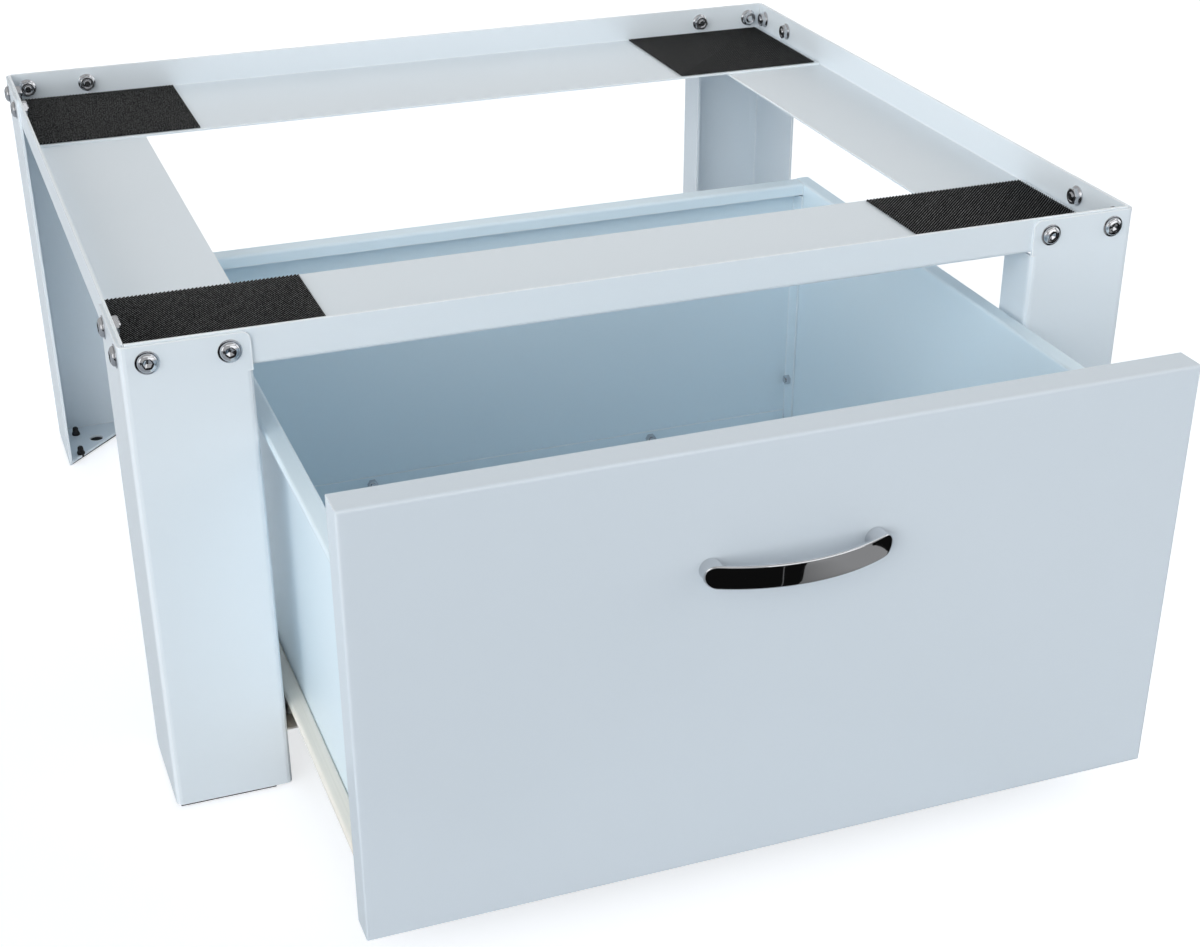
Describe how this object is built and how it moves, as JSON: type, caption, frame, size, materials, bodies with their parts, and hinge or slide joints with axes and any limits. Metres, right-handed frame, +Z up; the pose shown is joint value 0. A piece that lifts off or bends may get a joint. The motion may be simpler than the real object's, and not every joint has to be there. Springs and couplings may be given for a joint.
{
  "type": "washer pedestal drawer",
  "caption": "Low sheet steel stand for a washing machine, with corner legs, an angle rail rim, rubber pads and a wide drawer with a bow handle on roller runners.",
  "frame": {"origin": "On the floor, in the middle of the footprint of the stand with its drawer open as pictured", "axes": "+X to the right of someone facing the drawer front, +Y from the drawer front to the back, +Z up"},
  "size_m": [0.6366, 0.7642, 0.302],
  "materials": {
    "paint": "satin",
    "runner_coat": "satin",
    "rubber": "matte",
    "zinc": "satin",
    "chrome": "polished",
    "nylon": "matte"
  },
  "bodies": {
    "stand": {"front_rail": "paint", "rear_rail": "paint", "left_rail": "paint", "right_rail": "paint", "leg_front_left": "paint", "leg_front_right": "paint", "leg_rear_left": "paint", "leg_rear_right": "paint", "foot_pad_front_left": "rubber", "foot_pad_front_right": "rubber", "foot_pad_rear_left": "rubber", "foot_pad_rear_right": "rubber", "top_pad_front_left": "rubber", "top_pad_front_right": "rubber", "top_pad_rear_left": "rubber", "top_pad_rear_right": "rubber", "leg_screws": "zinc", "leg_nuts": "zinc", "left_support_bar": "paint", "right_support_bar": "paint", "bar_screws": "zinc", "bar_nuts": "zinc", "left_fixed_runner": "runner_coat", "right_fixed_runner": "runner_coat", "fixed_runner_screws": "zinc", "front_axles": "zinc"},
    "drawer": {"drawer_front": "paint", "drawer_front_lining": "paint", "drawer_left_side": "paint", "drawer_right_side": "paint", "drawer_back": "paint", "drawer_floor": "paint", "drawer_screws": "zinc", "drawer_nuts": "zinc", "left_drawer_runner": "runner_coat", "right_drawer_runner": "runner_coat", "drawer_runner_screws": "zinc", "rear_axles": "zinc", "handle": "chrome", "handle_screws": "zinc"},
    "front_roller_left": {"front_roller_left": "nylon"},
    "front_roller_right": {"front_roller_right": "nylon"},
    "rear_roller_left": {"rear_roller_left": "nylon"},
    "rear_roller_right": {"rear_roller_right": "nylon"}
  },
  "joints": [
    {"name": "drawer_slide", "type": "slide", "parent": "stand", "child": "drawer", "axis": [0, -1, 0], "range_m": [-0.179, 0.155]},
    {"name": "front_roller_left_spin", "type": "hinge", "parent": "stand", "child": "front_roller_left", "pos_m": [-0.2355, -0.14935, 0.04345], "axis": [1, 0, 0], "continuous": true},
    {"name": "front_roller_right_spin", "type": "hinge", "parent": "stand", "child": "front_roller_right", "pos_m": [0.2355, -0.14935, 0.04345], "axis": [1, 0, 0], "continuous": true},
    {"name": "rear_roller_left_spin", "type": "hinge", "parent": "drawer", "child": "rear_roller_left", "pos_m": [-0.2355, 0.10545, 0.03895], "axis": [1, 0, 0], "continuous": true},
    {"name": "rear_roller_right_spin", "type": "hinge", "parent": "drawer", "child": "rear_roller_right", "pos_m": [0.2355, 0.10545, 0.03895], "axis": [1, 0, 0], "continuous": true}
  ],
  "couplings": [
    {"joint": "front_roller_left_spin", "follows": "drawer_slide", "rad_per_m": 95.238},
    {"joint": "front_roller_right_spin", "follows": "drawer_slide", "rad_per_m": 95.238},
    {"joint": "rear_roller_left_spin", "follows": "drawer_slide", "rad_per_m": 95.238},
    {"joint": "rear_roller_right_spin", "follows": "drawer_slide", "rad_per_m": 95.238}
  ]
}
